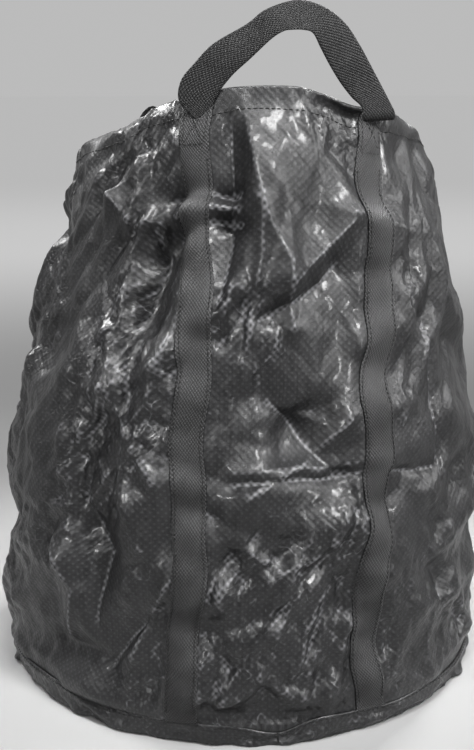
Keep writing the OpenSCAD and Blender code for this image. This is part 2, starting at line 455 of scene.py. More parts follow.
def strap_creases(angle, v):
    """Short sharp folds that run across the straps, where the webbing and the sheet buckle together."""
    rng = np.random.default_rng(61)
    height = np.zeros(angle.shape)
    for middle in (-1, 1):
        for back in (0, 180):
            off = (angle - back - middle * strap_angle(v) + 180) % 360 - 180
            across = np.radians(off) * cut_radius(v)
            level = 0.04
            while level < 0.86:
                rise = rng.uniform(0.0022, 0.0056) * rng.choice([-1, 1])
                slope = rng.uniform(-0.5, 0.5)
                reach = rng.uniform(0.016, 0.034)
                away = (v - level) * WALL_H - slope * across
                height += rise * np.exp(-np.abs(away / 0.008) ** 1.2 - (across / reach) ** 2)
                level += rng.uniform(0.035, 0.085)
    return height


def faceted_wall(coarse, ANGLE, V):
    """The simulated wall, its soft waves broken into flat facets and its outline made true."""
    def at_corners(x, y, rng):
        return sample_wall(coarse, x, y)

    smooth = sample_wall(coarse, ANGLE / 360, V)
    wide = facets(ANGLE.shape, 0.030, 5, 1.25, at_corners)
    tight = facets(ANGLE.shape, 0.015, 6, 1.1, at_corners)
    share = (smoothstep(V, 0.0, 0.05) * (1 - smoothstep(V, 0.95, 1.0)))[..., None]
    points = smooth * (1 - 0.9 * share) + (0.55 * wide + 0.35 * tight) * share
    form = wall_form(gathered_angle(ANGLE, V), V)
    points = points + (0.5 + 0.4 * sideways(ANGLE)[..., None]) * share * blur(form - points, 24, 12)
    near_rim = smoothstep(V, 0.90, 1.0)[..., None]
    return points * (1 - near_rim) + blur(points, 6, 0) * near_rim


def sideways(angle):
    """1 at the bag's two sides, 0 at the front and the back."""
    return np.sin(np.radians(angle + 12)) ** 4


def crushed_share(turn, v, large):
    """0..1: how finely the sheet is crushed, by creases and in patches, mostly low on the left."""
    patch = blur(np.random.default_rng(21).normal(size=v.shape), 22, 20)
    patch = patch / patch.std()
    left = 0.5 * np.tanh(-turn / 40) * (np.abs(turn) < 110)
    near_crease = blur(np.abs(large - blur(large, 2, 2)), 4, 4)
    near_crease = near_crease / np.quantile(near_crease, 0.9)
    return 0.2 + 0.8 * smoothstep(patch + 0.5 - 1.1 * v + left + 0.9 * near_crease, 0.0, 1.6)


SEAM_GROOVE = 0.0018  # depth of the groove along each side seam
SEAM_GROOVE_W = 0.0025  # its half width
UNDER_STRAP = 0.0003  # how far the sheet keeps clear under the straps

# The crumples' facets: (size, tallness, slant in turns round the bag, seed of their random heights).
LARGE = (0.050, 1.7, 0.13, 11)
MEDIUM = (0.021, 2.0, 0.12, 12)
MEDIUM_ACROSS = (0.026, 1.8, -0.10, 15)
SMALL = (0.010, 2.0, 0.10, 13)
TINY = (0.0058, 1.4, -0.08, 14)
# How far each size stands out, in metres.
LARGE_RISE, MEDIUM_RISE, SMALL_RISE, TINY_RISE = 0.0036, 0.0028, 0.0020, 0.0008


def crumple(shape, size, tall, slant, seed):
    """Slantwise facets of random height, about -1..1."""
    heights = facets(shape, size, seed, tall, lambda x, y, rng: rng.normal(size=(len(x), 1)))[..., 0]
    return slanted(heights, slant)


def wall_relief(ANGLE, V):
    """(height of every crease over the broad form in metres, share of fine crushing)."""
    turn = (ANGLE + 180) % 360 - 180
    gathered = gathered_angle(ANGLE, V)
    z = SEAM_Z + V * (rim_height(gathered) - SEAM_Z)
    large = crumple(V.shape, *LARGE)
    medium = crumple(V.shape, *MEDIUM) + crumple(V.shape, *MEDIUM_ACROSS)
    crushed = crushed_share(turn, V, large)
    calm = 1 - 0.55 * smoothstep(V, 0.72, 0.92)      # the sheet is smoother towards its hem
    relief = LARGE_RISE * large + MEDIUM_RISE * medium * (0.5 + 0.5 * crushed) * calm
    small, tiny = crumple(V.shape, *SMALL), crumple(V.shape, *TINY)
    relief += (SMALL_RISE * small + TINY_RISE * tiny) * crushed
    relief += strap_creases(ANGLE, V) + named_folds(gathered - TWIST * (1 - z / RIM_Z), z)
    relief *= smoothstep(V, 0.0, 0.06) * (1 - 0.7 * smoothstep(V, 0.91, 1.0))
    # Valleys stay shallow just over the base seam.
    relief = np.maximum(relief * (1 - 0.45 * sideways(ANGLE)), -0.0010 - 0.22 * V)
    to_side_seam = np.radians(np.abs(np.abs(turn) - 90)) * BASE_R
    return relief - SEAM_GROOVE * np.exp(-(to_side_seam / SEAM_GROOVE_W) ** 2), crushed


def finish_wall(coarse):
    """The fine wall: angles, heights 0..1, its points, the course under the straps, and its marks."""
    columns = np.arange(FINE_S) / FINE_S * 360
    ANGLE, V = np.meshgrid(columns, np.linspace(0, 1, FINE_V + 1), indexing="ij")
    points = faceted_wall(coarse, ANGLE, V)
    relief, crushed = wall_relief(ANGLE, V)
    normal = grid_normals(blur(points, 6, 5))
    points = points + normal * relief[..., None]
    under = blur(points, 2, 2)
    mask = strap_mask(ANGLE, V)[..., None]
    points = points * (1 - mask) + (under - UNDER_STRAP * normal) * mask
    # How sharply each point is creased: the laminate paints glints along it into its colour (painted
    # highlight).
    painted_glint = np.abs(relief - blur(relief, 1, 1))
    return ANGLE, V, points, under, painted_glint / np.quantile(painted_glint, 0.98), crushed


# ---------------------------------------------------------------- materials

class Field:
    """A value that a material works out at each point of a surface: arithmetic on it makes shader nodes."""

    def __init__(self, tree, socket):
        self.tree = tree
        self.socket = socket

    def feed(self, socket):
        self.tree.links.new(self.socket, socket)

    def made(self, kind, operation, values, output=0):
        node = self.tree.nodes.new(kind)
        node.operation = operation
        for value, socket in zip(values, node.inputs):
            if isinstance(value, Field):
                value.feed(socket)
            else:
                socket.default_value = value
        return Field(self.tree, node.outputs[output])

    def maths(self, operation, *values):
        return self.made("ShaderNodeMath", operation, values)

    def vector(self, operation, other, output="Vector"):
        return self.made("ShaderNodeVectorMath", operation, (self, other), output)

    def __add__(self, other):
        return self.maths("ADD", self, other)

    def __sub__(self, other):
        return self.maths("SUBTRACT", self, other)

    def __rsub__(self, other):
        return self.maths("SUBTRACT", other, self)

    def __mul__(self, other):
        return self.maths("MULTIPLY", self, other)

    def sine(self):
        return self.maths("SINE", self)

    def at_least(self, low):
        return self.maths("MAXIMUM", self, low)

    def at_most(self, high):
        return self.maths("MINIMUM", self, high)

    def scaled(self, scale):
        return self.vector("MULTIPLY", (scale, scale, scale))

    def noise(self, scale, detail, output="Fac"):
        """Soft noise over the place that this vector gives."""
        node = self.tree.nodes.new("ShaderNodeTexNoise")
        node.inputs["Scale"].default_value = scale
        node.inputs["Detail"].default_value = detail
        self.feed(node.inputs["Vector"])
        return Field(self.tree, node.outputs[output])

    def cells(self, size, feature="F1", disorder=1.0):
        """(place in cells, the node): cells of a size in metres over the place that this vector gives."""
        place = self.scaled(1 / size)
        node = self.tree.nodes.new("ShaderNodeTexVoronoi")
        node.feature = feature
        node.inputs["Scale"].default_value = 1.0
        node.inputs["Randomness"].default_value = disorder
        place.feed(node.inputs["Vector"])
        return place, node

    def colour(self, low, high, first, second):
        """From the first colour at `low` to the second at `high`."""
        node = self.tree.nodes.new("ShaderNodeValToRGB")
        for element, position, tone in zip(node.color_ramp.elements, (low, high), (first, second)):
            element.position = position
            element.color = tone
        self.feed(node.inputs["Fac"])
        return Field(self.tree, node.outputs["Color"])


def material(name, **settings):
    """A new material: (material, its tree, its shader), with constants for the shader's sockets."""
    made = bpy.data.materials.new(name)
    made.use_nodes = True
    shader = made.node_tree.nodes["Principled BSDF"]
    for socket, value in settings.items():
        shader.inputs[socket.replace("_", " ")].default_value = value
    return made, made.node_tree, shader


def grey(value, blue=1.0):
    return (value, value, value * blue, 1)


def bump(shader, height, strength, distance):
    node = height.tree.nodes.new("ShaderNodeBump")
    node.inputs["Strength"].default_value = strength
    node.inputs["Distance"].default_value = distance
    height.feed(node.inputs["Height"])
    Field(height.tree, node.outputs["Normal"]).feed(shader.inputs["Normal"])


def flat_coordinates(tree):
    """The flat pattern's coordinates in metres: (vector, across, along)."""
    uv = tree.nodes.new("ShaderNodeUVMap")
    uv.uv_map = "flat"
    split = tree.nodes.new("ShaderNodeSeparateXYZ")
    tree.links.new(uv.outputs["UV"], split.inputs[0])
    return Field(tree, uv.outputs["UV"]), Field(tree, split.outputs["X"]), Field(tree, split.outputs["Y"])


def attribute(tree, name):
    node = tree.nodes.new("ShaderNodeAttribute")
    node.attribute_name = name
    return Field(tree, node.outputs["Fac"])


MIDDLE = (0.5, 0.5, 0.5)  # the middle of noise and of random colours


def crushed_facets(vector, size, slope, disorder=1.0):
    """Height in metres of small flat facets, each tilted its own way by about `slope`."""
    place, cells = vector.cells(size, disorder=disorder)
    offset = place.vector("SUBTRACT", Field(vector.tree, cells.outputs["Position"]))
    tilt = Field(vector.tree, cells.outputs["Color"]).vector("SUBTRACT", MIDDLE)
    return offset.vector("DOT_PRODUCT", tilt, "Value") * (2 * size * slope)


def crackle(vector, size, width):
    """1 on the thin creases between cells, 0 elsewhere."""
    _, cells = vector.cells(size, "DISTANCE_TO_EDGE")
    line = 1.0 - Field(vector.tree, cells.outputs["Distance"]) * (size / width)
    return line.at_least(0.0)


CRUSH_COARSE = 0.011  # size of the larger crushed facets
CRUSH_FINE = 0.0048  # size of the smaller ones
CREASE_CELL = 0.016  # distance between fine creases
CREASE_W = 0.0008  # width of a fine crease
WEAVE_RISE = 0.00008  # how far the tapes' crossings stand up
CREASE_RISE = 0.00012
GRAIN_RISE = 0.00006


def laminate_material():
    """Black tape-woven sheet under a clear film: crushed into small facets, with painted highlights along
    its creases and over the tapes' crossings.
    """
    made, tree, shader = material("laminate", Specular_IOR_Level=0.5, Coat_Weight=0.15, Coat_Roughness=0.14)
    uv, across, along = flat_coordinates(tree)
    weave = (across * (math.pi / TAPE)).sine() * (along * (math.pi / TAPE)).sine()
    patches = uv.noise(14, 3)
    crushed = attribute(tree, "crushed")
    # Cells lie askew to the tapes, each stretch of them bent its own way.
    drift = uv.noise(35, 2, "Color").vector("SUBTRACT", MIDDLE)
    bent = uv.vector("ADD", drift.scaled(0.016))
    bent_more = uv.vector("ADD", drift.scaled(0.036))
    some = ((uv.noise(55, 2) - 0.54) * 9.0).at_least(0.0).at_most(1.0)
    creases = crackle(bent_more, CREASE_CELL, CREASE_W) * (crushed * some)

    height = (crushed_facets(bent, CRUSH_COARSE, 0.085) + crushed_facets(bent, CRUSH_FINE, 0.10)) * crushed
    height += weave * WEAVE_RISE
    height += crushed_facets(uv, TAPE, 0.05, 0.3)
    height += creases * CREASE_RISE
    height += uv.noise(700, 2) * GRAIN_RISE
    bump(shader, height, 1.0, 1.0)

    # Painted highlight: the colour is lightened along the sharp creases and the fine crease lines, most of
    # all over the tapes' crossings, in place of their glints.
    glint_paint = ((attribute(tree, "painted_glint") - 0.5) * 1.5).at_least(0.0).at_most(1.0)
    shade = uv.vector("MULTIPLY", (420.0, 14.0, 1.0)).noise(1.0, 2) * 0.12 + patches * 0.10
    shade += (glint_paint * (weave * 0.7 + 0.6) + creases * (weave * 0.5 + 0.6)) * 0.6
    # Painted sheen: light dots over the tapes' crossings, in patches, in place of the tapes' glints.
    shade += (weave - 0.25).at_least(0.0) * patches * 0.30
    shade.colour(0.06, 1.0, grey(0.002, 1.10), grey(0.15, 1.05)).feed(shader.inputs["Base Color"])
    rough = uv.noise(30, 3) * 0.24 + 0.28 + (1.0 - crushed) * 0.12
    rough.feed(shader.inputs["Roughness"])
    return made


RIB_PITCH = 0.0022  # distance between the webbing's ribs
PICK_PITCH = 0.0030  # distance between the threads across them


def webbing_material(name, dark, light):
    """Coarse twill webbing: fine slanting ribs, dull, a little dusty."""
    made, tree, shader = material(name, Roughness=0.52, Specular_IOR_Level=0.3, Sheen_Weight=0.06,
                                  Sheen_Roughness=0.5)
    uv, across, along = flat_coordinates(tree)
    twill = (across * (2 * math.pi / RIB_PITCH)).sine() * (along * (2 * math.pi / PICK_PITCH)).sine()
    shade = twill * 0.16 + uv.noise(24, 4)
    shade.colour(0.3, 0.8, grey(dark, 1.03), grey(light, 1.02)).feed(shader.inputs["Base Color"])
    bump(shader, twill + uv.noise(2500, 3) * 0.8, 0.6, 0.0004)
    return made


def thread_material():
    made, tree, shader = material("thread", Roughness=0.75)
    place = Field(tree, tree.nodes.new("ShaderNodeNewGeometry").outputs["Position"])
    fuzz = place.noise(1800, 2)
    fuzz.colour(0.3, 0.7, grey(0.005), grey(0.014)).feed(shader.inputs["Base Color"])
    bump(shader, fuzz, 0.4, 0.0002)
    return made


# ---------------------------------------------------------------- pieces

def dress(piece, look, body, nodes=()):
    piece.data.materials.append(look)
    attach(piece, body)
    if nodes:
        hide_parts(*nodes)


def solidify(piece, thickness, offset=-1.0):
    modifier = piece.modifiers.new("thickness", "SOLIDIFY")
    modifier.thickness = thickness
    modifier.offset = offset


def outward_of(ring):
    """Level directions away from the bag's axis, at the points of a ring."""
    return unit(ring * [1, 1, 0])


def seam_height(angle):
    """Height of the base seam: nearly level, with one dip at the front."""
    dip = 0.0075 * np.exp(-(((angle + 180) % 360 - 180) / 6.0) ** 2)
    wave = 0.0012 * np.sin(np.radians(angle * 5 + 40)) + 0.0010 * np.sin(np.radians(angle * 11))
    return SEAM_Z + 0.0015 + wave - dip


def ragged(columns, seed, amount):
    """A frayed edge's height round the base, in metres."""
    rng = np.random.default_rng(seed)
    rough = rng.uniform(0, 1, columns)
    soft = np.convolve(np.concatenate([rough[-9:], rough, rough[:9]]), np.ones(7) / 7, "same")[9:-9]
    return amount * (0.7 * soft + 0.3 * rough)


def skirt_rows(ring, out, edge, seed, rows, ripple):
    """Rows of a seam allowance that hangs from the base seam: from its frayed edge up to the seam."""
    columns = len(ring)
    rng = np.random.default_rng(seed)
    wave = blur(rng.normal(size=(columns, rows)), 3, 1)
    wave = ripple * wave / wave.std()
    outward = outward_of(ring)
    made = []
    for k in range(rows):
        t = 1 - k / rows
        z = ring[:, 2] * (1 - t) + edge * t
        away = out + (wave[:, k] - 0.0004) * t ** 0.6
        point = ring + outward * away[:, None]
        point[:, 2] = z
        made.append(point)
    return np.stack(made, 1)


HEM_FOLD_R = 0.0011  # radius of the fold at the rim
HEM_FOLD = (60, 120)  # degrees round that fold at which it has points


def hem_rows(angle, wall, normal):
    """Rows of points over the rim and down the inside, to the hem's edge."""
    top, inward = wall[:, -1], -normal[:, -1]
    rows = []
    for degrees in HEM_FOLD:
        bend = math.radians(degrees)
        lift = np.array([0, 0, HEM_FOLD_R * math.sin(bend)])
        rows.append(top + inward * HEM_FOLD_R * (1 - math.cos(bend)) + lift)
    for k in range(HEM_ROWS):
        level = np.full(len(top), 1 - HEM / WALL_H * (k / (HEM_ROWS - 1)))
        inside = sample_wall(wall, angle[:, -1] / 360, level)
        rows.append(inside - sample_wall(normal, angle[:, -1] / 360, level) * 2 * HEM_FOLD_R)
    return np.stack(rows, 1)


def wall_pieces(look, angle, v, wall, marks):
    """The front and back halves of the wall, each with its hem inside and its allowance under the seam."""
    hem = hem_rows(angle, wall, grid_normals(wall))
    ring = wall[:, 0]
    edge = 0.0012 + ragged(len(ring), 31, 0.003)
    skirt = skirt_rows(ring, 0.0, edge, 32, SKIRT_ROWS, 0.0006)
    full = np.concatenate([skirt, wall, hem], 1)
    lengths = np.concatenate([
        np.linspace(-SEAM_Z, -SEAM_Z / SKIRT_ROWS, SKIRT_ROWS),
        v[0] * WALL_H,
        WALL_H + np.linspace(0.001, HEM + 0.003, hem.shape[1]),
    ])
    level = np.clip(lengths / WALL_H, 0, 1)
    half = FINE_S // 2
    for name, first in (("front", -half // 2), ("back", half // 2)):
        pick = (np.arange(first, first + half + 1)) % FINE_S
        across = np.arange(-half // 2, half // 2 + 1) / FINE_S * 2 * math.pi
        uv = np.stack(np.broadcast_arrays(across[:, None] * cut_radius(level)[None], lengths[None]), -1)
        piece = mesh_object(f"{name}_wall_sheet", full[pick], grid_faces(half + 1, full.shape[1]), uv)
        for mark, values in marks.items():
            padded = np.pad(values, ((0, 0), (SKIRT_ROWS, hem.shape[1])), constant_values=0.5)
            mark_points(piece, mark, padded[pick])
        solidify(piece, SHEET_T)
        dress(piece, look, "bag", [f"{name}_wall"])
        width = math.pi * float(np.mean(cut_radius(v[0])))


HOLE_R = 0.005  # radius of a drain hole
HOLE_CIRCLE = 0.110  # radius of the circle that the drain holes lie on
HOLES = 8
BASE_STEP = 0.009  # distance between the base sheet's points
TURN_UP = 0.016  # width of the border that turns up to the seam
BASE_LIFT = 0.0008  # height of the base sheet's middle layer


def circle(radius, count, first=0.0, x=0.0, y=0.0):
    """Points evenly round (x, y), the first at an angle in degrees from +X."""
    turns = [math.radians(first) + 2 * math.pi * k / count for k in range(count)]
    return [(x + radius * math.cos(a), y + radius * math.sin(a)) for a in turns]


def base_points(outline, holes):
    """Flat points of the base sheet: scattered, round its border, round its holes, and on its outline."""
    rng = np.random.default_rng(41)
    places = np.arange(-BASE_R, BASE_R, BASE_STEP)
    X, Y = np.meshgrid(places, places, indexing="ij")
    X = X + rng.uniform(-0.25, 0.25, X.shape) * BASE_STEP
    Y = Y + rng.uniform(-0.25, 0.25, Y.shape) * BASE_STEP
    keep = np.hypot(X, Y) < BASE_R - TURN_UP
    for x, y in holes:
        keep &= np.hypot(X - x, Y - y) > HOLE_R + 0.4 * BASE_STEP
    flat = list(zip(X[keep], Y[keep]))
    for radius in (BASE_R - 0.010, BASE_R - 0.005):
        flat += circle(radius, 149, -90)
    for x, y in holes:
        flat += circle(HOLE_R, 20, 0, x, y)
    return flat, [tuple(p[:2] / np.hypot(p[0], p[1]) * BASE_R) for p in outline]


def base_piece(look, ring):
    """The base sheet: flat on the ground, with drain holes, and turned up to the seam."""
    holes = circle(HOLE_CIRCLE, HOLES, 180 / HOLES)
    outline = ring[::4]
    inner, border = base_points(outline, holes)
    vectors = [Vector((float(x), float(y))) for x, y in inner + border]
    made, _, triangles, origin, _, _ = geometry.delaunay_2d_cdt(vectors, [], [], 0, 1e-9)
    xy = np.array([tuple(p) for p in made])
    faces = []
    for triangle in triangles:
        mid = xy[list(triangle)].mean(0)
        if all(math.hypot(mid[0] - x, mid[1] - y) > HOLE_R * 0.97 for x, y in holes):
            faces.append(list(triangle))
    r = np.hypot(xy[:, 0], xy[:, 1])
    around = np.arctan2(ring[:, 0], -ring[:, 1]) % (2 * math.pi)
    order = np.argsort(around)
    here = np.arctan2(xy[:, 0], -xy[:, 1])
    edge_r = np.interp(here % (2 * math.pi), around[order], np.hypot(ring[:, 0], ring[:, 1])[order],
                       period=2 * math.pi)
    turned_up = smoothstep(r, BASE_R - TURN_UP, BASE_R - 0.001)
    turned_up = turned_up * (seam_height(np.degrees(here)) - BASE_LIFT)
    lumps = np.abs(np.sin(xy[:, 0] * 61 + 3 * np.sin(xy[:, 1] * 37))
                   * np.sin(xy[:, 1] * 53 + 2 * np.sin(xy[:, 0] * 43)))
    z = BASE_LIFT + 0.0016 * lumps * (r < BASE_R - 0.02) + turned_up
    xy = xy * (1 + (edge_r / BASE_R - 1) * smoothstep(r, 0.12, BASE_R - 0.012))[:, None]
    for k, where in enumerate(origin):
        if where and where[0] >= len(inner):
            x, y, height = outline[where[0] - len(inner)]
            xy[k] = x * 0.9985, y * 0.9985
            z[k] = height
    piece = mesh_object("base_sheet", np.column_stack([xy, z]), faces, xy)
    solidify(piece, SHEET_T, 1.0)
    dress(piece, look, "bag", ["base_panel"])


def allowance_piece(look, angle, ring):
    """The outer layer under the base seam: the base sheet's own allowance, folded down and frayed."""
    turn = (angle + 180) % 360 - 180
    edge = (0.0005 + ragged(len(ring), 51, 0.0030)) * (1 - 0.9 * np.exp(-(turn / 7.0) ** 2))
    rows = skirt_rows(ring, 0.0015, edge, 52, 9, 0.0018)
    top = ring + outward_of(ring) * 0.0009
    above = ring + outward_of(ring) * 0.0007 + [0, 0, 0.0014]
    full = np.concatenate([rows, top[:, None], above[:, None]], 1)
    across = np.arange(len(ring)) / len(ring) * 2 * math.pi * BASE_R
    along = np.linspace(-SEAM_Z, 0.002, full.shape[1])
    uv = np.stack(np.broadcast_arrays(across[:, None], along[None]), -1)
    piece = mesh_object("base_seam_allowance", full, grid_faces(len(ring), full.shape[1], wrap=True), uv)
    # Share of painted crease glints: below the laminate's threshold, so none is painted here.
    mark_points(piece, "painted_glint", np.full(full.shape[:2], 0.45))
    mark_points(piece, "crushed", np.full(full.shape[:2], 0.9))
    solidify(piece, SHEET_T)
    dress(piece, look, "bag")


STRIP_X = np.array([-1, -0.97, -0.85, -0.45, 0, 0.45, 0.85, 0.97, 1])
STRIP_TOP = np.array([0.5, 0.85, 1, 1.1, 1.1, 1.1, 1, 0.85, 0.5])
# A webbing strip's closed section: across in half widths, and up in thicknesses.
SECTION_X = np.concatenate([STRIP_X, STRIP_X[-2:0:-1]])
SECTION_Y = np.concatenate([STRIP_TOP, [0.15, 0, 0, 0, 0, 0, 0.15]])


def tube_faces(rings, corners):
    """Faces of a closed tube from its points, stored ring by ring, with both ends shut."""
    i, j = np.meshgrid(np.arange(rings - 1), np.arange(corners), indexing="ij")
    k = (j + 1) % corners
    first, second = i * corners, (i + 1) * corners
    quads = np.stack([first + j, first + k, second + k, second + j], -1).reshape(-1, 4)
    last = (rings - 1) * corners
    return quads.tolist() + [list(range(corners))[::-1], list(range(last, last + corners))]


def strip(name, points, across, travel):
    """A closed strip of webbing from its sections, an array of (section, corner) points."""
    uv = np.stack(np.broadcast_arrays(across, travel[:, None]), -1)
    return mesh_object(name, points, tube_faces(*points.shape[:2]), uv)


def travelled(line):
    """Distance along a line at each of its points."""
    return np.concatenate([[0], np.cumsum(np.linalg.norm(np.diff(line, axis=0), axis=1))])


def ribbon(name, centres, sides, normals, width):
    """A strip of webbing along a line. width is one number or one for each point."""
    width = np.broadcast_to(width, len(centres))[:, None, None]
    points = (centres[:, None] + sides[:, None] * (SECTION_X[None, :, None] * width / 2)
              + normals[:, None] * SECTION_Y[None, :, None] * WEB_T)
    return strip(name, points, SECTION_X[None] * WEB_W / 2, travelled(centres))


STITCH_STEPS = np.array([0, 0.18, 0.5, 0.82, 1.0])  # rings along a stitch, from end to end
STITCH_GIRTH = np.array([0.25, 0.85, 1.0, 0.85, 0.25])  # their radii, of the thread's radius
STITCH_SIDES = 6


def stitches(name, look, line, normals, nodes=(), pitch=0.0036, length=0.0026, radius=0.00042):
    """A row of short raised stitches along a line, each a small sewn capsule."""
    travel = travelled(line)
    middle = np.arange(pitch / 2, travel[-1], pitch)

    def at(values, where):
        return np.stack([np.interp(where, travel, values[:, k]) for k in range(3)], -1)

    a, b = at(line, middle - length / 2), at(line, middle + length / 2)
    up = unit(at(normals, middle))
    side = np.cross(unit(b - a), up)
    turn = np.arange(STITCH_SIDES) / STITCH_SIDES * 2 * math.pi
    step = STITCH_STEPS[None, :, None]
    spine = a[:, None] * (1 - step) + b[:, None] * step
    around = side[:, None] * np.cos(turn)[None, :, None] + up[:, None] * np.sin(turn)[None, :, None]
    points = (spine[:, :, None] + around[:, None] * radius * STITCH_GIRTH[None, :, None, None]
              + up[:, None, None] * radius * 0.3)
    one = tube_faces(len(STITCH_STEPS), STITCH_SIDES)
    size = len(STITCH_STEPS) * STITCH_SIDES
    faces = [[n * size + k for k in face] for n in range(len(middle)) for face in one]
    piece = mesh_object(name, points, faces)
    dress(piece, look, "bag", nodes)
    return piece


def strap_course(front, right, v, across=0.0):
    """Angle on the cut sheet of a strap's line, `across` metres from its centre."""
    wander = 0.0022 * np.sin(v * 17 + (2 if right else 0)) + 0.0012 * np.sin(v * 41 + (1 if front else 3))
    angle = np.degrees((STRAP_S + wander) / cut_radius(v))
    angle = angle if right else -angle
    shift = np.degrees(across / cut_radius(v))
    return angle + shift if front else 180 - angle - shift


def strap_points(under, normal, front, right, v, across, lift):
    angle = strap_course(front, right, v, across)
    n = unit(sample_wall(normal, angle / 360, v))
    return sample_wall(under, angle / 360, v) + n * lift, n


def strap_piece(look, under, normal, front, right):
    """One length of webbing sewn up the wall, creased with it. Returns its CAD node's name."""
    v = np.linspace(0.0, 1.0, 260)
    turned = 1 if front else -1
    sections = []
    for x, y in zip(SECTION_X, SECTION_Y):
        points, _ = strap_points(under, normal, front, right, v, turned * x * WEB_W / 2, y * WEB_T)
        sections.append(points)
    face = "front" if front else "back"
    name = f"{face}_{'right' if right else 'left'}_strap"
    piece = strip(f"{name}_webbing", np.stack(sections, 1), SECTION_X[None] * WEB_W / 2, v * WALL_H)
    dress(piece, look, "bag", [name])
    return name


# The crossed box of stitches at a strap's top, in the order that it is sewn: (height 0..1, side).
TACK_LOW, TACK_TOP = 0.925, 0.992
TACK_PATH = [(TACK_LOW, -1), (TACK_LOW, 1), (TACK_TOP, 1), (TACK_TOP, -1),
             (TACK_LOW, -1), (TACK_TOP, 1), (TACK_TOP, -1), (TACK_LOW, 1)]


def strap_stitching(look, under, normal, front, right, name):
    """A row of stitches along each edge of a strap, and the crossed box at its top."""
    v = np.linspace(0.02, 0.90, 260)
    for number, side in enumerate((-1, 1)):
        across = side * (WEB_W / 2 - 0.0022)
        line, n = strap_points(under, normal, front, right, v, across, 0.0004 + WEB_T)
        stitches(f"{name}_stitches_{number}", look, line, n)
    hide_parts(f"{name}_stitching")
    path = np.concatenate([
        np.linspace(start, end, 14)[:-1] for start, end in zip(TACK_PATH, TACK_PATH[1:])
    ])
    x = path[:, 1] * (WEB_W / 2 - 0.0028)
    line, n = strap_points(under, normal, front, right, path[:, 0], x, 0.0005 + WEB_T)
    place = name.removesuffix("_strap")
    stitches(f"{place}_tack_stitches", look, line, n, [f"{place}_tack"], radius=0.0003)


# The front handle's two edges, from its left end to its right end, in millimetres:
# (outer x, outer z, inner x, inner z, distance in front of its straps).
HANDLE_EDGES = [
    (-50, 432, -48, 433, 3), (-61, 441, -44, 440, 3.5), (-69, 451, -44, 450, 4), (-67, 464, -40, 457, 4.5),
    (-58, 475, -31, 468, 6), (-45, 488, -20, 478, 8.5), (-22, 501, -6, 491, 11.5), (-10, 510, 2, 496, 13),
    (6, 516, 8, 497, 13.5), (19, 517, 16, 497, 13.5), (35, 512, 23, 495, 12.5), (49, 502, 29, 486, 10.5),
    (60, 488, 37, 474, 8), (69, 474, 46, 462, 6), (78, 459, 55, 452, 5), (85, 447, 62, 446, 4.5),
    (88, 441, 64, 439, 4.5), (88, 437, 64, 436, 3), (87, 441, 65, 440, 2),
]


def smooth_line(knots, count):
    """Points evenly spaced along a Catmull-Rom curve through the knots."""
    knots = np.asarray(knots, float)
    wide = np.concatenate([[2 * knots[0] - knots[1]], knots, [2 * knots[-1] - knots[-2]]])
    made = []
    for i in range(len(knots) - 1):
        t = np.linspace(0, 1, 25)[:-1]
        w = cubic_weights(t)
        made.append(w @ wide[i:i + 4])
    line = np.concatenate(made + [knots[-1:]])
    travel = travelled(line)
    even = np.linspace(0, travel[-1], count)
    return np.stack([np.interp(even, travel, line[:, k]) for k in range(line.shape[1])], -1)


def dress_handle(piece, look, front):
    """Gives a handle its material, hides its CAD part and bakes its place into its points."""
    face = "front" if front else "back"
    piece.data.materials.append(look)
    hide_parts(f"{face}_handle")
    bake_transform(piece)


HANDLE_LEAN = 0.004  # how far the top of the front loop's edges lean apart, front to back


def front_handle(look, left_top, right_top):
    """The standing loop, one layer along its outline: its left end tapers slantwise, where the real webbing
    is folded over, and its right end ends square, where it is doubled back.
    """
    edges = smooth_line(np.array(HANDLE_EDGES) / 1000, 150)
    share = np.clip((edges[:, 0] - left_top[0]) / (right_top[0] - left_top[0]), 0, 1)
    y = left_top[1] + (right_top[1] - left_top[1]) * share - edges[:, 4]
    outer = np.stack([edges[:, 0], y, edges[:, 1]], -1)
    inner = np.stack([edges[:, 2], y, edges[:, 3]], -1)
    # The top of the loop leans forward, so that its flat side is seen from above.
    arch = np.sin(math.pi * np.linspace(0, 1, len(y))) ** 2
    outer[:, 1] += HANDLE_LEAN * arch
    inner[:, 1] -= HANDLE_LEAN * arch
    centre = (outer + inner) / 2
    width = np.linalg.norm(inner - outer, axis=1)
    side = unit(inner - outer)
    face = unit(np.cross(unit(np.gradient(centre, axis=0)), side))
    face = face * np.where(face[:, 1:2] > 0, -1, 1)
    piece = ribbon("front_handle_webbing", centre, side, face, width)
    dress_handle(piece, look, True)


BACK_TILT = 50  # degrees that the hanging webbing's face turns out from facing up
# The back handle's middle line, from its left end to its middle:
# (share of the way to the right end, how far out, height over the strap's top), in metres.
BACK_LINE = [
    (0.0, 0.0005, -0.014), (0.004, 0.0015, -0.004), (0.018, 0.004, 0.0008), (0.045, 0.010, -0.003),
    (0.12, 0.019, -0.016), (0.26, 0.028, -0.031), (0.42, 0.034, -0.040), (0.5, 0.035, -0.042),
]


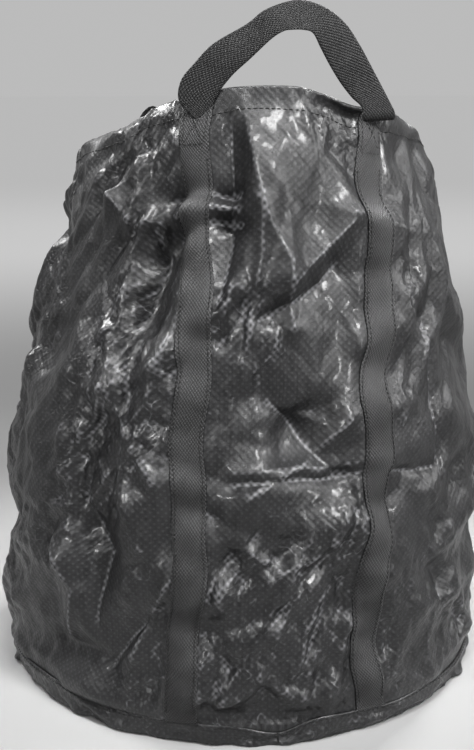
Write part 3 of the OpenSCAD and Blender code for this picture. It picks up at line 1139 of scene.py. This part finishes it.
def back_handle(look, left_top, right_top):
    """The hanging loop behind: it comes up over the rim and drops down outside the wall."""
    points = []
    for share, out, drop in BACK_LINE + [(1 - s, o, d) for s, o, d in BACK_LINE[-2::-1]]:
        points.append(left_top + (right_top - left_top) * share + np.array([0, 0.002 + out, drop]))
    line = smooth_line(points, 120)
    tangent = unit(np.gradient(line, axis=0))
    tilt = math.radians(BACK_TILT)
    face = np.tile([0.0, math.sin(tilt), math.cos(tilt)], (len(line), 1))
    near = 1 - smoothstep(line[:, 1] - line[:, 1].min(), 0.002, 0.012)
    face = face * (1 - near[:, None]) + np.array([0.0, 1.0, 0.15]) * near[:, None]
    face = unit(face - tangent * (face * tangent).sum(-1, keepdims=True))
    side = np.cross(face, tangent)
    # The webbing turns over the rim by twisting a little at a time, so that no corner of it sticks out.
    reach = 12
    padded = np.concatenate([side[:1].repeat(reach, 0), side, side[-1:].repeat(reach, 0)])
    side = unit(np.mean([padded[k:k + len(side)] for k in range(2 * reach + 1)], 0))
    piece = ribbon("back_handle_webbing", line, side, face, WEB_W)
    dress_handle(piece, look, False)


def hem_stitching(look, wall, normal):
    """The row of stitches that holds the hem, seen between the straps."""
    v = 1 - (HEM - 0.003) / WALL_H
    strap = float(strap_angle(v))
    gap = math.degrees((WEB_W / 2 + 0.001) / float(cut_radius(v)))
    edges = [-strap, strap, 180 - strap, 180 + strap, 360 - strap]
    for number, (first, last) in enumerate(zip(edges, edges[1:])):
        course = np.linspace(first + gap, last - gap, 400)
        level = np.full(len(course), v)
        n = unit(sample_wall(normal, course / 360, level))
        line = sample_wall(wall, course / 360, level) + n * 0.0001
        row = stitches(f"hem_stitches_{number}", look, line, n, pitch=0.0042, length=0.003)
        if number == 0:
            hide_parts("hem_stitching")


def base_stitching(look, ring):
    outward = outward_of(ring)
    line = ring + outward * 0.0013 - [0, 0, 0.0005]
    line = np.concatenate([line, line[:1]])
    normals = np.concatenate([outward, outward[:1]])
    stitches("base_stitches", look, line, normals, ["base_stitching"], pitch=0.0044, length=0.0030,
             radius=0.0004)


ALLOWANCE_W = 0.011  # width of a side seam's allowance
ALLOWANCE_ROWS = 5


def side_seam(laminate, thread, wall, normal, name, angle):
    """The seam's allowance, which stands inward along the inside of the wall, and its stitches."""
    v = np.linspace(0.01, 0.995, 140)
    where = np.full(len(v), angle / 360)
    n = unit(sample_wall(normal, where, v))
    out = sample_wall(wall, where, v)
    depth = np.linspace(0.0012, ALLOWANCE_W, ALLOWANCE_ROWS)
    along = unit(np.gradient(out, axis=0))
    side = np.cross(along, n)
    sway = 0.0025 * np.sin(v * 38) + 0.0015 * np.sin(v * 83 + 1)
    points = out[:, None] - n[:, None] * depth[None, :, None]
    points = points + side[:, None] * (sway[:, None] * (depth / ALLOWANCE_W) ** 1.5)[..., None]
    uv = np.stack(np.broadcast_arrays(depth[None], (v * WALL_H)[:, None]), -1)
    piece = mesh_object(f"{name}_seam_allowance", points, grid_faces(len(v), ALLOWANCE_ROWS), uv)
    solidify(piece, 2 * SHEET_T, 0.0)
    dress(piece, laminate, "bag")
    for face, turned in (("a", 1), ("b", -1)):
        line = points[:, 2] + side * turned * (SHEET_T + 0.0002)
        nodes = [f"{name}_seam_stitching"] if face == "a" else []
        stitches(f"{name}_seam_stitches_{face}", thread, line, side * turned, nodes)


def grow_bag():
    laminate, thread = laminate_material(), thread_material()
    webbing = webbing_material("webbing", 0.006, 0.058)
    handle_webbing = webbing_material("handle_webbing", 0.003, 0.020)
    angle, v, wall, under, painted_glint, crushed = finish_wall(crumple_wall())
    wall[:, 0, 2] = seam_height(angle[:, 0])
    normal = grid_normals(wall)
    smooth_normal = grid_normals(under)
    ring = wall[:, 0].copy()
    # The sheet carries where glints are painted along its creases (painted highlight), and how finely it is
    # crushed.
    wall_pieces(laminate, angle, v, wall, {"painted_glint": painted_glint, "crushed": crushed})
    base_piece(laminate, ring)
    allowance_piece(laminate, angle[:, 0], ring)
    for front in (True, False):
        for right in (True, False):
            name = strap_piece(webbing, under, smooth_normal, front, right)
            strap_stitching(thread, under, smooth_normal, front, right, name)
    hem_stitching(thread, wall, normal)
    base_stitching(thread, ring)
    side_seam(laminate, thread, wall, normal, "left", -90)
    side_seam(laminate, thread, wall, normal, "right", 90)

    def strap_top(front, right):
        point, _ = strap_points(under, smooth_normal, front, right, np.array([0.99]), 0.0, WEB_T)
        return point[0]

    front_handle(handle_webbing, strap_top(True, False), strap_top(True, True))
    back_handle(handle_webbing, strap_top(False, False), strap_top(False, True))


# ---------------------------------------------------------------- floor, light and camera

CAMERA_AZIMUTH = -12.0  # degrees; 0 looks along +Y
CAMERA_PITCH = 13.3  # degrees below the horizon
CAMERA_DISTANCE = 1.000  # from the bag's axis, along the ground
CAMERA_HEIGHT = 0.463
CAMERA_LENS = 59.6  # millimetres
CAMERA_SHIFT = -0.0067  # sideways, so that the bag stands right of the middle

# The lamps: (name, place, size, power). Each is turned to the bag, and its beam keeps near the bag,
# so that the floor in front of it shows only faintly in the film.
LAMPS = [
    ("key", (0.6, -1.2, 1.6), 0.38, 1.50),
    ("window", (1.6, -0.4, 1.0), 1.2, 1.9),
    ("top", (0.0, -0.5, 2.0), 0.38, 0.9),
    ("left", (-0.9, -1.0, 1.6), 0.45, 0.40),
    ("low left", (-1.2, -1.0, 0.7), 0.14, 0.30),
    ("low right", (0.8, -1.5, 0.6), 0.16, 0.26),
    ("back left", (-1.1, 1.0, 1.7), 0.45, 1.7),
    ("back right", (1.1, 1.0, 1.7), 0.45, 1.7),
]
BEAM = 32  # degrees across each of those beams
FLOOR_R = 40  # half the floor's width


def area_light(name, place, size, power, spread):
    lamp = bpy.data.lights.new(name, "AREA")
    lamp.size = size
    lamp.energy = power
    lamp.spread = math.radians(spread)
    piece = bpy.data.objects.new(name, lamp)
    piece.location = place
    aim = Vector((0, 0, 0.22)) - Vector(place)
    piece.rotation_euler = aim.to_track_quat("-Z", "Y").to_euler()
    bpy.context.scene.collection.objects.link(piece)


def floor_material():
    """Pale and plain; it glows more and more with distance from the bag, up to the backdrop's tone: painted
    light, from a floor that is no lamp.
    """
    made, tree, shader = material("floor", Base_Color=(0.40, 0.40, 0.40, 1), Roughness=0.9,
                                  Emission_Color=(1.0, 1.0, 1.0, 1))
    place = Field(tree, tree.nodes.new("ShaderNodeNewGeometry").outputs["Position"])
    far = tree.nodes.new("ShaderNodeMapRange")
    far.interpolation_type = "SMOOTHSTEP"
    far.inputs["From Min"].default_value = 0.2
    far.inputs["From Max"].default_value = 2.6
    far.inputs["To Max"].default_value = 0.43
    place.vector("LENGTH", (0, 0, 0), "Value").feed(far.inputs["Value"])
    # Painted light: the floor's own glow, none near the bag and rising with distance.
    tree.links.new(far.outputs["Result"], shader.inputs["Emission Strength"])
    return made


def studio():
    scene = bpy.context.scene
    corners = [(x, y, 0) for x, y in ((-1, -1), (1, -1), (1, 1), (-1, 1))]
    floor = mesh_object("floor", np.array(corners) * FLOOR_R, [(0, 1, 2, 3)])
    floor.data.materials.append(floor_material())

    world = bpy.data.worlds.new("world")
    scene.world = world
    world.use_nodes = True
    tree = world.node_tree
    background = tree.nodes["Background"]
    background.inputs["Color"].default_value = (1.0, 1.0, 1.0, 1)
    # The backdrop is white, but lights the bag only softly: the lamps do the rest.
    seen = Field(tree, tree.nodes.new("ShaderNodeLightPath").outputs["Is Camera Ray"])
    (seen * 0.37 + 0.13).feed(background.inputs["Strength"])
    for lamp in LAMPS:
        area_light(*lamp, BEAM)
    area_light("back", (0.5, 2.6, 2.6), 3.0, 26, 180)
    scene.view_settings.view_transform = "Standard"


def camera():
    scene = bpy.context.scene
    lens = bpy.data.cameras.new("camera")
    lens.lens = CAMERA_LENS
    lens.sensor_width = 36
    lens.shift_x = CAMERA_SHIFT
    eye = bpy.data.objects.new("camera", lens)
    a, pitch = math.radians(CAMERA_AZIMUTH), math.radians(CAMERA_PITCH)
    eye.location = (CAMERA_DISTANCE * math.sin(a), -CAMERA_DISTANCE * math.cos(a), CAMERA_HEIGHT)
    back = Vector((math.sin(a) * math.cos(pitch), -math.cos(a) * math.cos(pitch), math.sin(pitch)))
    eye.rotation_euler = back.to_track_quat("Z", "Y").to_euler()
    scene.collection.objects.link(eye)
    scene.camera = eye


camera()
studio()
grow_bag()
